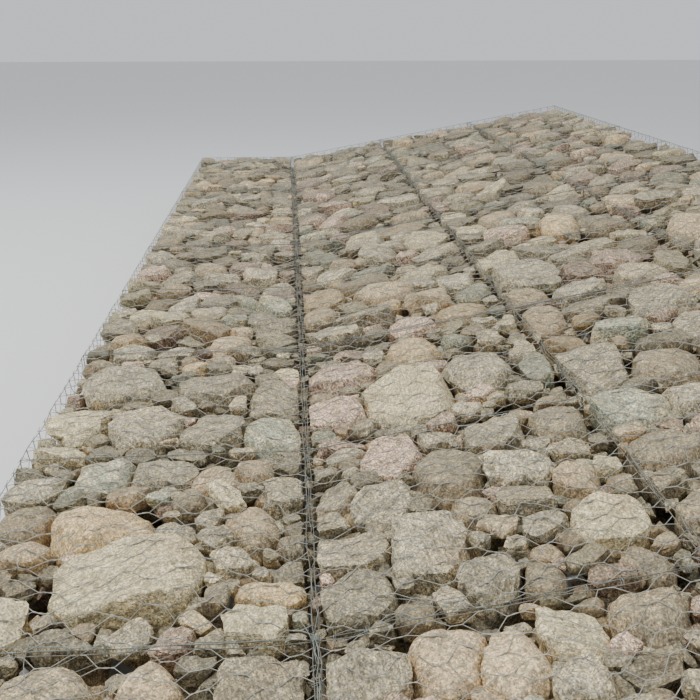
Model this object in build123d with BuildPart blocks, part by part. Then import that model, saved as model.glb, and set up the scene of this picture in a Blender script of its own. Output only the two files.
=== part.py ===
# Gabion revetment: four rows of stone-filled wire baskets along the foot of a bank.
# The toe row lies level along the water, and three more rows lie up the slope behind it.
# X runs across the rows and points up the bank, Y runs along the rows, Z is up.
# The origin is on the underside of the toe row, in the middle of its first cell.

import os
from math import atan, cos, floor, hypot, sin

from build123d import *

# Driving dimensions, in millimetres
bays = 5
basket_length = 2000
cells_per_basket = 2
toe_width = 1000
toe_depth = 500
slope_width = 1000
slope_depth = 500
slope_run_per_rise = 5.5

selvedge_wire = 3.4
mesh_wire = 2.7
lacing_wire = 2.2
laced_gap = 0.3

mesh_opening = 80
twist_length = 40
mesh_row_pitch = 75

edge_drop = 40
edge_run = 60
crown = 35
crown_run = 300

lacing_pitch = 500
lacing_clearance = 0.3

# Places that follow from them
cell_length = basket_length / cells_per_basket
bay_pitch = basket_length + laced_gap
run_start = -cell_length / 2
slope_angle = atan(1 / slope_run_per_rise)
up_slope = Vector(cos(slope_angle), 0, sin(slope_angle))
out_of_slope = Vector(-sin(slope_angle), 0, cos(slope_angle))
seam_x = toe_width / 2
slope_rows = ["lower", "middle", "upper"]

os.makedirs("parts", exist_ok=True)


def row_plane(row, y):
    """The corner of a row's basket that is lowest and furthest down the bank, at the station y."""
    if row == "toe":
        return Plane(origin=(-toe_width / 2, y, 0), x_dir=(1, 0, 0), z_dir=(0, 0, 1))
    lid_corner = Vector(seam_x + laced_gap, y, toe_depth)
    lid_corner += up_slope * (slope_width + laced_gap) * slope_rows.index(row)
    return Plane(origin=lid_corner - out_of_slope * slope_depth, x_dir=up_slope, z_dir=out_of_slope)


def across(plane, along):
    """The plane that cuts a basket across at a distance along it; its y is the basket's height."""
    return Plane(origin=plane.from_local_coords((0, along, 0)), x_dir=plane.x_dir, z_dir=-plane.y_dir)


def lengthwise(plane, over):
    """The plane that cuts a basket lengthwise at a distance over it; its y is the basket's height."""
    return Plane(origin=plane.from_local_coords((over, 0, 0)), x_dir=plane.y_dir, z_dir=plane.x_dir)


def pillow_outline(start, end, depth):
    """A fill's section between two walls: upright sides, sloping shoulders and a bulging lid."""
    return [
        (start, 0),
        (end, 0),
        (end, depth - edge_drop),
        (end - edge_run, depth),
        (end - crown_run, depth + crown),
        (start + crown_run, depth + crown),
        (start + edge_run, depth),
        (start, depth - edge_drop),
    ]


def cell_walls(cell):
    """Where a cell's fill starts and ends along its basket, clear of end wires and diaphragm."""
    before = selvedge_wire if cell == 0 else selvedge_wire / 2
    after = selvedge_wire if cell == cells_per_basket - 1 else selvedge_wire / 2
    return cell * cell_length + before, (cell + 1) * cell_length - after


def save(builder, name):
    """Label a finished piece and write it."""
    builder.part.label = name
    export_step(builder.part, f"parts/{name}.step")


rows = {"toe": (toe_width, toe_depth)}
for slope_row in slope_rows:
    rows[slope_row] = (slope_width, slope_depth)

# Stone fill: two pillow-shaped blocks in each basket, one on each side of its diaphragm
for row, (width, depth) in rows.items():
    for bay in range(bays):
        basket = row_plane(row, run_start + bay * bay_pitch)
        blocks = []
        for cell in range(cells_per_basket):
            start, end = cell_walls(cell)
            with BuildPart() as block:
                with BuildSketch(across(basket, end)):
                    Polygon(*pillow_outline(selvedge_wire, width - selvedge_wire, depth), align=None)
                extrude(amount=end - start)
                with BuildSketch(lengthwise(basket, 0)):
                    Polygon(*pillow_outline(start, end, depth), align=None)
                extrude(amount=width, mode=Mode.INTERSECT)
            blocks.append(block.part)
        with BuildPart() as fill:
            add(blocks)
        save(fill, f"{row}_fill_{bay + 1}")

# Basket frames: selvedge wires round the two ends and the diaphragm, and along the four long edges
for row, (width, depth) in rows.items():
    for bay in range(bays):
        basket = row_plane(row, run_start + bay * bay_pitch)
        hoops = [cell * cell_length - selvedge_wire / 2 for cell in range(1, cells_per_basket)]
        hoops = [0] + hoops + [basket_length - selvedge_wire]
        with BuildPart() as wires:
            for hoop in hoops:
                with BuildSketch(across(basket, hoop + selvedge_wire)):
                    with Locations((width / 2, depth / 2)):
                        Rectangle(width, depth)
                        Rectangle(width - 2 * selvedge_wire, depth - 2 * selvedge_wire, mode=Mode.SUBTRACT)
                extrude(amount=selvedge_wire)
            with BuildSketch(across(basket, basket_length)):
                with Locations((width / 2, depth / 2)):
                    with GridLocations(width - selvedge_wire, depth - selvedge_wire, 2, 2):
                        Rectangle(selvedge_wire, selvedge_wire)
            extrude(amount=basket_length)
        save(wires, f"{row}_frame_{bay + 1}")

# End mesh of the toe row: a double-twisted hexagonal net inside the frame of each free end
net_width = toe_width - 2 * selvedge_wire
net_depth = toe_depth - 2 * selvedge_wire
apex_rise = mesh_row_pitch - twist_length
slant = hypot(mesh_opening / 2, apex_rise) / (mesh_opening / 2)
hole_half = mesh_opening / 2 - mesh_wire
hole_apex = twist_length / 2 + apex_rise - slant * mesh_wire / 2
hole_side = hole_apex - hole_half * apex_rise / (mesh_opening / 2)
mesh_hole = [
    (hole_half, -hole_side),
    (hole_half, hole_side),
    (0, hole_apex),
    (-hole_half, hole_side),
    (-hole_half, -hole_side),
    (0, -hole_apex),
]
mesh_rows = floor(net_depth / mesh_row_pitch / 2) + 1
mesh_columns = floor(net_width / mesh_opening / 2) + 1
centres = []
for mesh_row in range(-mesh_rows, mesh_rows + 1):
    shift = mesh_opening / 2 * (mesh_row % 2)
    for column in range(-mesh_columns, mesh_columns + 1):
        centres.append((column * mesh_opening + shift, mesh_row * mesh_row_pitch))

last_end = run_start + (bays - 1) * bay_pitch + basket_length
end_nets = {
    "near": run_start + selvedge_wire,
    "far": last_end - selvedge_wire + mesh_wire,
}
for end, inner_face in end_nets.items():
    net_plane = Plane(origin=(0, inner_face, toe_depth / 2), x_dir=(1, 0, 0), z_dir=(0, -1, 0))
    with BuildPart() as net:
        with BuildSketch(net_plane):
            Rectangle(net_width, net_depth)
            with BuildSketch(net_plane, mode=Mode.SUBTRACT):
                with Locations(*centres):
                    Polygon(*mesh_hole, align=None)
                Rectangle(net_width - 2 * mesh_wire, net_depth - 2 * mesh_wire, mode=Mode.INTERSECT)
        extrude(amount=mesh_wire)
    save(net, f"toe_end_mesh_{end}")

# Lacing: turns of wire round the selvedges of neighbouring baskets, joined by runs along them
# At the toe seam the slope basket's wire stands turned, so its corners reach further
turned = selvedge_wire * (cos(slope_angle) + sin(slope_angle))
turned_rise = selvedge_wire * sin(slope_angle)
pair = 2 * selvedge_wire + laced_gap
seam_turns = cells_per_basket * floor(cell_length / lacing_pitch)
cross_turns = floor(slope_width / lacing_pitch)
for bay in range(bays):
    start = run_start + bay * bay_pitch
    with BuildPart() as lacing:
        # Seams along the run: each is a plane across the wires, and the box that the turns close round
        toe_seam = Plane(origin=(seam_x, start, toe_depth), x_dir=(1, 0, 0), z_dir=(0, 0, 1))
        left, bottom = -selvedge_wire - lacing_clearance, -selvedge_wire - lacing_clearance
        seams = [(toe_seam, left, laced_gap + turned + lacing_clearance, bottom, turned_rise)]
        for slope_row in slope_rows[1:]:
            basket = row_plane(slope_row, start)
            slope_seam = Plane(
                origin=basket.from_local_coords((-laced_gap, 0, slope_depth)),
                x_dir=up_slope,
                z_dir=out_of_slope,
            )
            seams.append((slope_seam, left, laced_gap + selvedge_wire + lacing_clearance, bottom, 0))
        for seam, left, right, bottom, top in seams:
            middle = ((left + right) / 2, (bottom + top) / 2)
            for turn in range(seam_turns):
                along = (turn + 0.5) * basket_length / seam_turns
                with BuildSketch(across(seam, along + lacing_wire / 2)):
                    with Locations(middle):
                        Rectangle(right - left + 2 * lacing_wire, top - bottom + 2 * lacing_wire)
                        Rectangle(right - left, top - bottom, mode=Mode.SUBTRACT)
                extrude(amount=lacing_wire)
            first = 0.5 * basket_length / seam_turns
            with BuildSketch(across(seam, basket_length - first)):
                with Locations((middle[0], top + lacing_wire / 2)):
                    Rectangle(lacing_wire, lacing_wire)
            extrude(amount=basket_length - 2 * first)
        # Joints across the run, between this bay's baskets and the next bay's
        if bay < bays - 1:
            for row, (width, depth) in rows.items():
                basket = row_plane(row, start + basket_length)
                middle = (laced_gap / 2, depth - selvedge_wire / 2 - lacing_clearance / 2)
                inner = (pair + 2 * lacing_clearance, selvedge_wire + lacing_clearance)
                for turn in range(cross_turns):
                    over = (turn + 0.5) * width / cross_turns
                    with BuildSketch(lengthwise(basket, over - lacing_wire / 2)):
                        with Locations(middle):
                            Rectangle(inner[0] + 2 * lacing_wire, inner[1] + 2 * lacing_wire)
                            Rectangle(*inner, mode=Mode.SUBTRACT)
                    extrude(amount=lacing_wire)
                first = 0.5 * width / cross_turns
                with BuildSketch(lengthwise(basket, first)):
                    with Locations((middle[0], depth + lacing_wire / 2)):
                        Rectangle(lacing_wire, lacing_wire)
                extrude(amount=width - 2 * first)
    save(lacing, f"lacing_{bay + 1}")
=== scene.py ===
# %% [markdown]
# A gabion revetment is a mat of wire baskets, packed with stone, that keeps a river bank from washing away.
# The baskets and their places come from the frame, and this lesson fills them: it packs each one with
# single stones, stretches the hexagonal net over them and laces the baskets together.

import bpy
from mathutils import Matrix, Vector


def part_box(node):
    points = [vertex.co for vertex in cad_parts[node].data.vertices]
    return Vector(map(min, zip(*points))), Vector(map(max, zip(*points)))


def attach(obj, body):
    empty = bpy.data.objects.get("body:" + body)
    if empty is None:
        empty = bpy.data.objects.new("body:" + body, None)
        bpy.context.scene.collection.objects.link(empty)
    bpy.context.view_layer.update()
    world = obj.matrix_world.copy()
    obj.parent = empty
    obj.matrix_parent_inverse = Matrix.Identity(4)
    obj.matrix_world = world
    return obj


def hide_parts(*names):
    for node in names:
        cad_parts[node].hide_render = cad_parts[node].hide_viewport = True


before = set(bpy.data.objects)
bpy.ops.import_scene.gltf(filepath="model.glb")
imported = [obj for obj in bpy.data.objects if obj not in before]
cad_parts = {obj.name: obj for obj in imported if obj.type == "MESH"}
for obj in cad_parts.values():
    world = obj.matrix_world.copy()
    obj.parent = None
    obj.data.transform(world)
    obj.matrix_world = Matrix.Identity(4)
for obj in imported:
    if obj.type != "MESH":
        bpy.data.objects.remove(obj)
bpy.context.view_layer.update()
print("nodes in the frame:", len(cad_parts))

# %% [markdown]
# Thousands of stones and wires are easier to work out as arrays of points than one vertex at a time, so numpy
# stands beside Blender's own modules. Only the finished arrays are handed to Blender as meshes.

# %% Tools of the lesson
from math import atan, cos, degrees, hypot, pi, radians, sin, sqrt, tan

import bmesh
import bpy
import numpy as np
from mathutils import Euler, Matrix, Vector
from mathutils.bvhtree import BVHTree

# %% [markdown]
# Every basket is a box of wire with a diaphragm in the middle, which makes two cells of it. The toe row's
# baskets stand level, and the three slope rows' baskets lie tilted. So each basket gets its own directions:
# across, along and out through the lid. All later steps work in these, so they are the same on the slope.

# %% Sizes, read from the frame
ROWS = ("toe", "lower", "middle", "upper")
first_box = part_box("toe_frame_1")
WIDTH, LENGTH, DEPTH = (round(side, 3) for side in first_box[1] - first_box[0])
CELL = LENGTH / 2
one_row_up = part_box("middle_frame_1")[0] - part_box("lower_frame_1")[0]
RUN_PER_RISE = round(one_row_up.x / one_row_up.z, 3)
SLOPE = atan(1 / RUN_PER_RISE)
EDGE_WIRE = 0.0034
MESH_WIRE = 0.0027
LACING_WIRE = 0.0022
print(f"a basket is {WIDTH} by {LENGTH} by {DEPTH} m")
print(f"the slope is 1 in {RUN_PER_RISE}, or {degrees(SLOPE):.1f} degrees")

# %% Baskets
class Basket:
    """A basket's row and bay, its low corner and its three directions."""

    def __init__(self, row, bay):
        self.row, self.bay = row, bay
        low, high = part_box(f"{row}_frame_{bay}")
        turn = 0 if row == "toe" else SLOPE
        self.across = Vector((cos(turn), 0, sin(turn)))
        self.along = Vector((0, 1, 0))
        self.out = Vector((-sin(turn), 0, cos(turn)))
        lid_corner = Vector((low.x, low.y, high.z - WIDTH * sin(turn)))
        self.corner = lid_corner - self.out * DEPTH

    def chance(self, first, row_step, bay_step=1):
        """Draws by chance that are the same in every run and differ from basket to basket."""
        return np.random.RandomState(first + row_step * ROWS.index(self.row) + bay_step * self.bay)

    def matrix(self):
        """The move that brings a mesh from the basket's own measure to its place in the frame."""
        turned = Matrix((self.across, self.along, self.out)).transposed().to_4x4()
        return Matrix.Translation(self.corner) @ turned

    def place(self, points):
        """Points given across, along and out in this basket, as places in the frame."""
        directions = np.array((self.across, self.along, self.out))
        return np.asarray(points) @ directions + np.array(self.corner)


bays = len([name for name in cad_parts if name.startswith("toe_fill")])
baskets = [Basket(row, bay) for row in ROWS for bay in range(1, bays + 1)]
for basket in baskets[::bays]:
    print(basket.row, "row starts at", [round(c, 3) for c in basket.corner])

# %% [markdown]
# The camera stands over the first baskets, at the height of raised hands, and looks down along the seam.
# All the long edges of the rows meet in one vanishing point, and its place in the picture gives the tilt and
# the turn of the camera for a chosen focal length.

# %% Camera
PICTURE = 700
FOCAL_PIXELS = 850
VANISHING_X, VANISHING_Y = 285.5, 20
EYE_HEIGHT = 1.43
EYE_BESIDE_SEAM = -0.035
EYE_Y = -0.20

pitch = atan((PICTURE / 2 - VANISHING_Y) / FOCAL_PIXELS)
yaw = atan((PICTURE / 2 - VANISHING_X) * cos(pitch) / FOCAL_PIXELS)
eye = Vector((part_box("toe_frame_1")[1].x + EYE_BESIDE_SEAM, EYE_Y, DEPTH + EYE_HEIGHT))
camera_data = bpy.data.cameras.new("camera")
camera_data.sensor_width = 36
camera_data.lens = FOCAL_PIXELS / PICTURE * camera_data.sensor_width
camera_data.clip_end = 200
camera = bpy.data.objects.new("camera", camera_data)
bpy.context.scene.collection.objects.link(camera)
camera.location = eye
camera.rotation_euler = Euler((pi / 2 - pitch, 0, -yaw))
bpy.context.scene.camera = camera
print(f"camera looks {degrees(pitch):.1f} degrees down and {degrees(yaw):.1f} to the right")

# %% [markdown]
# The fill is quarried and river stone of every size, laid by hand: large flat ones at the lid, small ones
# wedged between them. Modelling each by hand would take days, so a few large stones are placed one by one
# where they give the wall its face, and chance lays the rest, the large ones first, until no place is left.
# Each stone is three half sizes, a turn and a kind.

# %% Kinds of stone, and how often chance picks each
KINDS = ("grey", "green", "cream", "pink", "tan", "ochre", "brown")
SHARES = (0.45, 0.09, 0.11, 0.10, 0.13, 0.03, 0.09)
ROUND_KINDS = ("tan", "ochre", "brown")
print("kinds of stone:", dict(zip(KINDS, SHARES)))

# %% Stones given one by one: middle across and along the row, width and length in metres, and kind
HAND_LAID = {
    "toe": (
        (0.22, 3.17, 0.43, 0.34, "grey"),
        (0.63, 3.10, 0.32, 0.31, "grey"),
        (0.88, 2.98, 0.21, 0.28, "grey"),
        (0.13, 2.84, 0.24, 0.30, "cream"),
        (0.40, 2.77, 0.27, 0.29, "grey"),
        (0.66, 2.72, 0.24, 0.27, "grey"),
        (0.88, 2.68, 0.20, 0.24, "green"),
        (0.12, 2.56, 0.18, 0.20, "cream"),
        (0.10, 2.30, 0.17, 0.15, "grey"),
        (0.31, 2.42, 0.19, 0.26, "green"),
        (0.51, 2.42, 0.23, 0.22, "grey"),
        (0.69, 2.34, 0.15, 0.16, "tan"),
        (0.82, 2.42, 0.12, 0.20, "tan"),
        (0.92, 2.26, 0.13, 0.21, "grey"),
        (0.12, 2.12, 0.18, 0.20, "brown"),
        (0.36, 2.08, 0.31, 0.20, "ochre"),
        (0.83, 2.04, 0.14, 0.20, "tan"),
        (0.48, 1.81, 0.45, 0.32, "cream"),
        (0.17, 1.64, 0.18, 0.16, "cream"),
        (0.88, 1.72, 0.18, 0.10, "ochre"),
        (0.85, 1.60, 0.17, 0.10, "cream"),
        (0.36, 1.38, 0.22, 0.17, "brown"),
        (0.60, 1.40, 0.14, 0.15, "tan"),
        (0.86, 1.36, 0.22, 0.20, "grey"),
    ),
    "lower": (
        (0.12, 1.86, 0.23, 0.18, "grey"),
        (0.11, 1.65, 0.20, 0.18, "grey"),
        (0.33, 1.81, 0.23, 0.29, "grey"),
        (0.47, 1.64, 0.17, 0.19, "grey"),
        (0.60, 1.60, 0.12, 0.13, "brown"),
        (0.30, 1.38, 0.23, 0.27, "tan"),
        (0.46, 1.32, 0.13, 0.23, "tan"),
        (0.60, 1.38, 0.16, 0.16, "cream"),
        (0.80, 1.42, 0.19, 0.19, "brown"),
        (0.58, 1.22, 0.12, 0.13, "grey"),
        (0.12, 1.36, 0.22, 0.15, "grey"),
        (0.23, 2.08, 0.18, 0.18, "grey"),
        (0.08, 2.17, 0.14, 0.19, "grey"),
        (0.29, 2.36, 0.19, 0.25, "pink"),
        (0.12, 2.51, 0.20, 0.14, "pink"),
        (0.12, 2.79, 0.20, 0.23, "pink"),
        (0.42, 2.82, 0.36, 0.43, "cream"),
        (0.17, 3.13, 0.28, 0.26, "pink"),
        (0.46, 2.20, 0.22, 0.36, "brown"),
        (0.66, 2.43, 0.21, 0.27, "grey"),
        (0.67, 2.13, 0.20, 0.19, "grey"),
        (0.65, 1.94, 0.18, 0.15, "grey"),
        (0.50, 1.95, 0.13, 0.13, "brown"),
        (0.84, 1.78, 0.22, 0.19, "cream"),
        (0.83, 2.03, 0.11, 0.17, "tan"),
        (0.87, 2.44, 0.18, 0.33, "brown"),
        (0.73, 2.96, 0.25, 0.38, "grey"),
        (0.49, 3.27, 0.22, 0.32, "ochre"),
        (0.93, 2.84, 0.12, 0.24, "green"),
        (0.33, 3.82, 0.30, 0.22, "grey"),
        (0.84, 4.12, 0.18, 0.34, "grey"),
    ),
    "middle": (
        (0.13, 2.40, 0.28, 0.22, "green"),
        (0.13, 2.10, 0.25, 0.23, "brown"),
        (0.14, 2.76, 0.21, 0.36, "grey"),
        (0.38, 2.68, 0.26, 0.24, "brown"),
        (0.38, 2.38, 0.22, 0.24, "grey"),
        (0.10, 3.36, 0.18, 0.26, "tan"),
        (0.34, 3.06, 0.24, 0.22, "green"),
        (0.60, 3.28, 0.27, 0.24, "grey"),
        (0.20, 4.02, 0.36, 0.40, "grey"),
        (0.35, 3.62, 0.24, 0.22, "grey"),
        (0.68, 3.70, 0.24, 0.22, "brown"),
        (0.61, 4.80, 0.17, 0.34, "ochre"),
        (0.12, 5.08, 0.20, 0.20, "cream"),
    ),
    "upper": (
        (0.20, 3.90, 0.28, 0.28, "grey"),
        (0.22, 4.30, 0.26, 0.36, "tan"),
    ),
}

print("stones laid by hand:", {row: len(laid) for row, laid in HAND_LAID.items()})

# %% [markdown]
# A cell is packed in layers. The face layer under the lid matters most. Small stones are wedged into its
# hollows, two coarse layers fill the depth below, and the open sides get a closely laid layer of their own,
# as a mason would lay them. The stones stay a little inside the net, and further inside at the seams.

# %% Smallest and largest half widths that chance picks from, and the heights of the deep layers
GRADING = {
    "toe": (0.035, 0.105),
    "lower": (0.040, 0.135),
    "middle": (0.040, 0.135),
    "upper": (0.040, 0.125),
}
BESIDE_HAND_LAID = (0.026, 0.062)
DEEP_SIZES = (0.07, 0.13)
WEDGE_SIZES = (0.026, 0.060)
SIDE_SIZES = (0.038, 0.088)
SEAM_SIZES = (0.019, 0.030)
LEVELS = {"inner": 0.25, "base": 0.10}
SIDE_TOP = 0.43

# %% How far the stones end inside their basket, and how the lid bulges
OPEN_MARGIN, SEAM_MARGIN, DIAPHRAGM_MARGIN, DEEP_MARGIN = 0.006, 0.017, 0.007, -0.012
BASE_MARGIN = 0.012
CROWN = 0.022
SHOULDER_RUN, CROWN_RUN, SHOULDER_DROP = 0.05, 0.30, 0.022


def lid(row, u, v):
    """The height of the lid over a cell: low at the edges, highest inside, with a long rise at the top."""
    uphill = (WIDTH - u) * (0.5 if row == "upper" else 1.0)
    inward = min(u, uphill, v % CELL, CELL - v % CELL)
    return DEPTH + np.interp(inward, (0, SHOULDER_RUN, CROWN_RUN), (-SHOULDER_DROP, 0, CROWN))


def half_width(stone, direction):
    """Half of a stone's width in a direction, for a stone given as an ellipsoid turned in plan."""
    c, s = cos(stone["turn"]), sin(stone["turn"])
    along = direction[..., 0] * c + direction[..., 1] * s
    over = -direction[..., 0] * s + direction[..., 1] * c
    a, b, h = stone["half"]
    return np.sqrt((along * a) ** 2 + (over * b) ** 2 + (direction[..., 2] * h) ** 2)


# %% One stone
def from_large_to_small(draw, sizes, count, power):
    """Half widths that chance picks, the largest first; a higher power picks small ones more often."""
    small, large = sizes
    return np.sort(draw.uniform(0, 1, count) ** power * (large - small) + small)[::-1]


def pick_kind(draw):
    """A kind of stone, as often as its share."""
    return KINDS[draw.choice(len(KINDS), p=SHARES)]


def new_stone(centre, half, turn, kind):
    """A stone that chance lays: its middle in plan, its half sizes, its turn in plan and its kind."""
    return {"centre": centre, "half": half, "turn": turn, "kind": kind, "by_hand": False}


# %% Lay the face or a deep layer of a cell
STONES_TRIED, PLACES_TRIED = 300, 16
MANY_BY_HAND = 5
HAND_LAID_SHARE, HEIGHT_SHARE, LEAST_HEIGHT = 0.56, 0.34, 0.03


def hand_laid(basket, cell):
    """The listed stones whose middles lie in this cell, in the basket's own measure."""
    start = basket.corner.y + cell * CELL
    laid = []
    for u, y, width, length, kind in HAND_LAID[basket.row]:
        if start < y < start + CELL:
            # A little over half of its width and length, because its neighbours press it back.
            half_height = HEIGHT_SHARE * min(width, length) + LEAST_HEIGHT
            half = (HAND_LAID_SHARE * width, HAND_LAID_SHARE * length, half_height)
            stone = new_stone((u, y - basket.corner.y), half, 0.0, kind)
            stone["by_hand"] = True
            laid.append(stone)
    return laid


def lay(draw, basket, cell, layer):
    """One layer of a cell: the listed stones first, then what chance fits in between them."""
    laid = hand_laid(basket, cell) if layer == "face" else []
    sizes = DEEP_SIZES
    if layer == "face":
        sizes = BESIDE_HAND_LAID if len(laid) > MANY_BY_HAND else GRADING[basket.row]
    for radius in from_large_to_small(draw, sizes, STONES_TRIED, 1.5):
        kind = pick_kind(draw)
        stretch = draw.uniform(1.0, 1.35)
        half = (radius * stretch, radius / stretch, radius * draw.uniform(0.55, 0.85))
        turn = draw.normal(0, 0.7)
        for _ in range(PLACES_TRIED):
            u = draw.uniform(0.7 * radius, WIDTH - 0.7 * radius)
            v = cell * CELL + draw.uniform(0.7 * radius, CELL - 0.7 * radius)
            stone = new_stone((u, v), half, turn, kind)
            if fits(stone, laid):
                laid.append(stone)
                break
    return laid


# %% Wedge small stones into the hollows of the face
# Lengths are in metres. The last two are shares of half widths: the room that a wedge needs beside the face
# stones and beside other wedges.
WEDGES_TRIED = 380
GRID_START, GRID_PITCH, GRID_STONE = 0.03, 0.047, 0.040
EDGE_CLEAR = 0.02
WEDGE_ROOM, WEDGE_SHARE = 0.15, 0.8


def hollows(draw, cell):
    """Places and sizes to try for wedged stones: many by chance, then a close grid for what chance missed."""
    for _ in range(WEDGES_TRIED):
        radius = draw.uniform(*WEDGE_SIZES)
        u = draw.uniform(EDGE_CLEAR, WIDTH - EDGE_CLEAR)
        yield u, cell * CELL + draw.uniform(EDGE_CLEAR, CELL - EDGE_CLEAR), radius
    for u in np.arange(GRID_START, WIDTH, GRID_PITCH):
        for v in np.arange(GRID_START, CELL, GRID_PITCH):
            yield u, cell * CELL + v, GRID_STONE


def wedges(draw, cell, face):
    """Small stones that fill the hollows left between the stones of the face."""
    laid = []
    for u, v, radius in hollows(draw, cell):
        room = min(open_distance(u, v, other) for other in face)
        beside = [hypot(u - w["centre"][0], v - w["centre"][1]) - WEDGE_SHARE * w["half"][0] for w in laid]
        if room > WEDGE_ROOM * radius and min(beside, default=1.0) > WEDGE_SHARE * radius:
            kind = pick_kind(draw)
            half = (radius * 1.15, radius * 0.95, radius * 0.8)
            laid.append(new_stone((u, v), half, draw.uniform(0, pi), kind))
    return laid


# %% Lay the stones of an open side
SIDE_STONES_TRIED, SIDE_PLACES_TRIED = 220, 14


def lay_side(draw, side, cell):
    """The stones of a cell's open side: laid flat in the side's own plane, then stood up at that side."""
    laid = []
    for radius in from_large_to_small(draw, SIDE_SIZES, SIDE_STONES_TRIED, 1.3):
        stretch = draw.uniform(1.0, 1.3)
        half = (radius * stretch, radius / stretch, radius * draw.uniform(0.7, 0.95))
        for _ in range(SIDE_PLACES_TRIED):
            along = draw.uniform(0.7 * radius, CELL - 0.7 * radius)
            height = draw.uniform(0.6 * radius, SIDE_TOP - 0.6 * radius)
            flat = new_stone((along, height), half, 0.0, None)
            if fits(flat, laid):
                laid.append(flat)
                break
    return [stand_up(draw, flat, side, cell) for flat in laid]


def stand_up(draw, flat, side, cell):
    """A stone laid in a side's plane, stood up at that side of its cell."""
    along, height = flat["centre"]
    wide, high, deep = flat["half"]
    inward = OPEN_MARGIN + 0.85 * deep
    if side in ("low", "high"):
        centre = (inward if side == "low" else WIDTH - inward, cell * CELL + along)
        half = (deep, wide, high)
    else:
        centre = (along, inward if side == "start" else LENGTH - inward)
        half = (wide, deep, high)
    stone = new_stone(centre, half, 0.0, pick_kind(draw))
    stone["height"] = height
    return stone


# %% Stones that have slipped into a seam
SEAM_START = 0.02
SEAM_PLACES = (-0.022, -0.004)


def fallen(draw, basket, cell):
    """Small stones in the seam at a slope basket's low side."""
    laid = []
    v = cell * CELL + SEAM_START
    while basket.row != "toe" and v < (cell + 1) * CELL:
        radius = draw.uniform(*SEAM_SIZES)
        kind = pick_kind(draw)
        centre = (draw.uniform(*SEAM_PLACES), v)
        half = (0.8 * radius, 1.4 * radius, 1.2 * radius)
        laid.append(new_stone(centre, half, draw.normal(0, 0.3), kind))
        v += draw.uniform(1.6, 2.6) * radius
    return laid


# %% Whether a stone has room
# Shares of the stones' half widths: stones may overlap a little, because they press each other flat later.
SHRUNKEN = 0.85
TOUCHING, FAR_TOO_CLOSE = 0.93, 0.5


def open_distance(u, v, stone):
    """How far a place in plan lies outside a slightly shrunken stone."""
    away = np.array((u - stone["centre"][0], v - stone["centre"][1], 0))
    distance = max(hypot(*away[:2]), 1e-6)
    return distance - SHRUNKEN * half_width(stone, away / distance)


def fits(stone, laid):
    """Whether a stone lies clear of those already laid in its layer."""
    for other in laid:
        away = np.array((*np.subtract(other["centre"], stone["centre"]), 0))
        distance = hypot(*away[:2])
        both = max(stone["half"]) + max(other["half"])
        if distance < FAR_TOO_CLOSE * both:
            return False
        if distance > both:
            continue
        direction = away / distance
        if distance < TOUCHING * (half_width(stone, direction) + half_width(other, direction)):
            return False
    return True

# %% [markdown]
# A stone in a tight fill has been broken or rolled to a rough block, and it rests against its neighbours on
# flat faces. Sculpting or a rigid body simulation would reach that slowly. Here each stone starts as a ball,
# and planes press on it from all sides: one halfway to each neighbour, a tilted one under the lid, the
# basket's walls, and a few more that chip its own corners. Each point of the ball goes out until the nearest
# planes stop it. A high power makes it stop sharply at one plane, which leaves broken edges, and a low power
# rounds them as in a river cobble.

# %% Balls to press, from coarse to fine
def ball(subdivisions, cuts):
    """Points and triangles of a ball of radius one."""
    form = bmesh.new()
    bmesh.ops.create_icosphere(form, subdivisions=subdivisions, radius=1)
    if cuts:
        bmesh.ops.subdivide_edges(form, edges=form.edges[:], cuts=cuts, use_grid_fill=True)
        bmesh.ops.triangulate(form, faces=form.faces[:])
    points = np.array([vert.co.normalized() for vert in form.verts])
    triangles = np.array([[vert.index for vert in face.verts] for face in form.faces])
    form.free()
    return points, triangles


# Each ball has about twice the triangles of the one before it, or more.
BALLS = [ball(1, 0), ball(2, 0), ball(1, 2), ball(3, 0), ball(2, 2), ball(4, 0), ball(3, 2)]
print("triangles of the balls:", [len(triangles) for points, triangles in BALLS])


UNEVEN, SKEW = 0.28, 0.20


def spread(count, draw):
    """Directions spread evenly over a sphere and then a little disturbed."""
    step = np.arange(count) + 0.5
    polar = np.arccos(1 - 2 * step / count)
    round_about = pi * (1 + sqrt(5)) * step + draw.uniform(0, 2 * pi)
    ring = np.sin(polar)
    directions = np.stack((np.cos(round_about) * ring, np.sin(round_about) * ring, np.cos(polar)), axis=1)
    directions += draw.normal(0, UNEVEN, directions.shape)
    return directions / np.linalg.norm(directions, axis=1)[:, None]


def block_faces(draw, turn):
    """Directions of a quarried block's six faces, skewed a little and turned in plan."""
    faces = np.concatenate((np.eye(3), -np.eye(3))) + draw.normal(0, SKEW, (6, 3))
    c, s = cos(turn), sin(turn)
    faces = faces @ np.array(((c, s, 0), (-s, c, 0), (0, 0, 1)))
    return faces / np.linalg.norm(faces, axis=1)[:, None]


# %% How far inside its cell a stone ends
def wall_margins(basket, cell, layer):
    """How far inside its cell's low, high, start and end side a stone ends; deep stones close the seams."""
    seam = {"inner": DEEP_MARGIN, "base": DEEP_MARGIN, "side": DIAPHRAGM_MARGIN}.get(layer, SEAM_MARGIN)
    joint = min(seam, DIAPHRAGM_MARGIN) if basket.bay > 2 else seam
    return (
        OPEN_MARGIN if basket.row == "toe" else seam,
        OPEN_MARGIN if basket.row == "upper" else seam,
        DIAPHRAGM_MARGIN if cell else OPEN_MARGIN if basket.bay == 1 else joint,
        DIAPHRAGM_MARGIN if not cell else OPEN_MARGIN if basket.bay == bays else joint,
    )


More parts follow.
